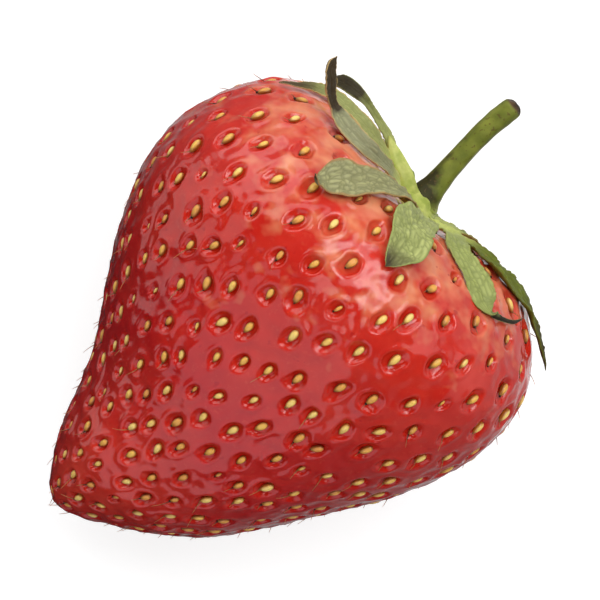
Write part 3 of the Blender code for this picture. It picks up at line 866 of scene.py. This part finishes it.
def add_lobe(name, rows):
    """A thin sheet along its midrib, folded a little, wavy at the edge and netted with veins."""
    phase = 1.7 * list(LOBES).index(name)
    rows = smooth(rows, LOBE_STEPS + 1)
    midrib, side, face = lobe_frame(name, rows)
    step = np.linalg.norm(np.diff(midrib, axis=0), axis=1)
    from_base = np.concatenate(([0], np.cumsum(step)))[:, None]
    share = np.linspace(0, 1, LOBE_STEPS + 1)[:, None]
    half_width = rows[:, 3:4] * np.clip((1.02 - share) / 0.06, 0.15, 1) ** 0.7
    fullness = np.clip(half_width, 0, 1)
    w = np.linspace(-1, 1, LOBE_ACROSS)
    vein = vein_net(from_base, half_width * w, half_width, phase)
    frill = 0.1 * np.sin(from_base * 1.1 + phase * 2) + 0.05 * np.sin(from_base * 2.3 + phase)
    pucker = noise_at(stacked(from_base * 0.7, half_width * w * 0.9, phase))
    rise = half_width * (0.15 * w**2 - 0.1 * (1 - np.abs(w)) ** 3)
    rise = rise + fullness * (frill * np.sign(w) * np.abs(w) ** 3 + PUCKER_HEIGHT * pucker)
    rise = rise - VEIN_DEPTH * vein + LEAF_LIFT
    thick = LEAF_THICKNESS - EDGE_THINNING * np.abs(w) ** 4
    thick = thick * np.clip(half_width / 0.5, 0.35, 1) / 2
    edge = half_width * w * (1 + 0.02 * np.sin(from_base * 2.6 + phase * 5 + 3 * np.sign(w)))
    sheet = midrib[:, None] + edge[..., None] * side[:, None] + rise[..., None] * face[:, None]
    upper = sheet + thick[..., None] * face[:, None]
    lower = sheet - thick[..., None] * face[:, None]
    points = np.concatenate((upper, lower[:, ::-1]), axis=1).reshape(-1, 3)
    *leaf, reach = both_faces(share, w, vein, from_base / 10)
    faces = tube_faces(LOBE_STEPS + 1, 2 * LOBE_ACROSS)
    look = lobe_look(name + "_leaf", *LOBE_LOOKS[name])
    slot = name.split("_")[0]
    add_piece(name + "_leaf", points, faces, look, slot, [name], leaf=leaf, from_base=[reach])


def add_hub():
    """The calyx's middle: a ribbed saucer that narrows to the stem, with a fold and a small tooth."""
    axis = unit(np.array(CALYX_AXIS))
    side = unit(np.cross((0, 0, 1), axis))
    rows = smooth(CALYX_PROFILE, 25)
    angle = full_turn(96)
    wave = 0.6 * np.cos(len(LOBES) * angle + 0.6) + 0.4 * np.cos(23 * angle)
    outward = np.clip((rows[:, :1] - 1.6) / 2, 0, 1)
    radius = (rows[:, :1] * (1 + 0.05 * wave * outward))[..., None]
    height = (rows[:, 1:] + 0.1 * wave * outward)[..., None]
    saucer = CALYX_CENTRE + axis * height + radius * circle(angle, side, np.cross(axis, side))
    points = saucer.reshape(-1, 3)
    faces = tube_faces(len(rows), len(angle))
    tooth = [np.zeros(len(points))]
    for number, fold in enumerate(CALYX_FOLDS):
        spine = smooth(fold, 41)
        along = unit(np.gradient(spine[:, :3], axis=0))
        across = unit(np.cross((0, 0, 1), along))
        turn = full_turn(32)
        ribs = 1 + 0.09 * np.cos(9 * turn)[:, None]
        spread = ribs * circle(turn, across, FOLD_FLATNESS * np.cross(along, across))
        tube = (spine[:, None, :3] + spine[:, None, 3:] * spread).reshape(-1, 3)
        faces += tube_faces(len(spine), len(turn), start=len(points))
        points = np.vstack((points, tube))
        tooth.append(np.full(len(tube), number))
    tooth = [np.concatenate(tooth)]
    add_piece("calyx_middle", points, faces, hub_look(), "calyx_base", ["calyx_base"], tooth=tooth)


def add_stem():
    """The bent stem: faintly ridged, knobbly, and rounded at the dried cut."""
    rows = smooth(STEM, 97)
    middle, radius = rows[:, :3], rows[:, 3:]
    along = unit(np.gradient(middle, axis=0))
    side = unit(np.cross((0, 0, 1), along))
    share = np.linspace(0, 1, len(rows))[:, None]
    angle = full_turn(44)
    knobs = noise_at(stacked(share * 14, np.cos(angle) * 1.2, np.sin(angle) * 1.2))
    ridges = np.cos(STEM_RIDGES * angle + 2 * share)
    radius = radius * (1 + RIDGE_HEIGHT * ridges + KNOB_HEIGHT * knobs)
    radius = radius * np.clip(1 - ((share - CUT_FROM) / 0.085).clip(0, 1) ** 2, 0.04, 1) ** 0.5
    points = middle[:, None] + radius[..., None] * circle(angle, side, np.cross(along, side))
    points = points + along[:, None] * (0.25 * knobs * (share > 0.96))[..., None]
    bruise = np.zeros_like(radius)
    for where, turn, length, width, dark in BRUISES:
        away = (angle - turn + np.pi) % (2 * np.pi) - np.pi
        bruise = np.maximum(bruise, dark * np.exp(-(((share - where) / length) ** 2) - (away / width) ** 2))
    stalk = stacked(share, bruise).reshape(-1, 2).T
    faces = tube_faces(len(rows), len(angle))
    add_piece("green_stem", points.reshape(-1, 3), faces, stem_look(), "stem", ["stem"], stalk=stalk)


# --- floor, lights and camera ----------------------------------------------------------------------


def add_floor():
    """A grey floor that the camera sees as white, a little less so round the berry."""
    look = Look("pale_floor", Roughness=0.7, Specular_IOR_Level=0.2, Emission_Color=(1, 1, 1, 1))
    tone = look.noise(look.place(), 6.0, 2.0)
    look.set("Base Color", look.ramp(tone, (0.3, 0.42), (0.7, 0.44)))
    away = look.math("DIVIDE", look.vector_math("LENGTH", look.place(), output="Value"), FLOOR_HALF)
    white = look.ramp(away, (0.08, 0.74), (0.25, 0.92))
    seen = look.node("ShaderNodeLightPath", "Is Camera Ray")
    look.set("Emission Strength", look.math("MULTIPLY", seen, white))
    corners = [(x * FLOOR_HALF, y * FLOOR_HALF, 0) for x, y in ((-1, -1), (1, -1), (1, 1), (-1, 1))]
    mesh = bpy.data.meshes.new("floor")
    mesh.from_pydata(corners, [], [(0, 1, 2, 3)])
    mesh.materials.append(look.made)
    floor = bpy.data.objects.new("floor", mesh)
    bpy.context.scene.collection.objects.link(floor)
    floor.visible_glossy = False


def add_softbox(name, azimuth, elevation, width, height, radiance):
    """A soft light that faces the berry."""
    light = bpy.data.lights.new(name, "AREA")
    light.shape = "RECTANGLE"
    light.size, light.size_y = width, height
    light.energy = radiance * math.pi * width * height
    light.color = LIGHT_TINTS.get(name, (1, 1, 1))
    lamp = bpy.data.objects.new(name, light)
    a, e = math.radians(azimuth), math.radians(elevation)
    towards = Vector((math.cos(a) * math.cos(e), math.sin(a) * math.cos(e), math.sin(e)))
    lamp.location = towards * LIGHT_DISTANCE
    lamp.rotation_euler = towards.to_track_quat("Z", "Y").to_euler()
    lamp.visible_camera = False
    lamp.visible_glossy = name not in ONLY_FILL
    lamp.visible_diffuse = name not in ONLY_MIRRORED
    bpy.context.scene.collection.objects.link(lamp)


def add_world():
    """Dim round the berry, brighter low down behind the calyx, and pale where it is the background."""
    world = bpy.data.worlds.new("studio")
    world.use_nodes = True
    nodes = Nodes(world.node_tree)
    direction = nodes.node("ShaderNodeTexCoord", "Generated")
    heading = nodes.vector_math("NORMALIZE", nodes.vector_math("MULTIPLY", direction, (1, 1, 0)))
    glow_heading = math.radians(GLOW_HEADING)
    glow_side = (math.cos(glow_heading), math.sin(glow_heading), 0)
    towards = nodes.vector_math("DOT_PRODUCT", heading, glow_side, output="Value")
    upward = nodes.math("MULTIPLY_ADD", nodes.parts(direction)[2], 0.5, 0.5)
    low = nodes.ramp(upward, (0.01, 1.1), (0.07, 0.9), (0.2, 0.55), (0.42, 0.45), (0.6, 0.75), (0.72, 0.0))
    towards = nodes.math("MULTIPLY_ADD", towards, 0.5, 0.5)
    side = nodes.ramp(towards, (0.15, 0.0), (0.4, 0.35), (0.66, 0.4), (0.8, 0.9))
    glow = nodes.math("ADD", nodes.math("MULTIPLY", low, side), DIMMEST)
    seen = nodes.node("ShaderNodeLightPath", "Is Camera Ray")
    background = world.node_tree.nodes["Background"]
    nodes.put(background.inputs["Color"], (1, 1, 1, 1))
    strength = nodes.math("MAXIMUM", glow, nodes.math("MULTIPLY", seen, BACKDROP))
    nodes.put(background.inputs["Strength"], strength)
    bpy.context.scene.world = world


def add_camera():
    """Looks down on the berry, from a little towards its tip."""
    camera = bpy.data.cameras.new("camera")
    obj = bpy.data.objects.new("camera", camera)
    offset = Vector(CAMERA_OFFSET) * MM
    obj.location = (CAD_LOW + CAD_HIGH) / 2 + offset
    obj.rotation_mode = "QUATERNION"
    obj.rotation_quaternion = Vector((0, 0, -1)).rotation_difference(-offset)
    camera.lens = camera.sensor_width * offset.length / (VIEW_WIDTH * MM)
    camera.clip_start, camera.clip_end = 0.01, 50
    bpy.context.scene.collection.objects.link(obj)
    bpy.context.scene.camera = obj


def main():
    add_camera()
    add_world()
    add_floor()
    for name, sizes in SOFTBOXES.items():
        add_softbox(name, *sizes)
    achenes = Achenes()
    add_skin(achenes)
    add_achenes(achenes)
    add_styles(achenes)
    add_hub()
    add_stem()
    for name, rows in LOBES.items():
        add_lobe(name, rows)
    bpy.context.scene.view_settings.view_transform = "Standard"


main()
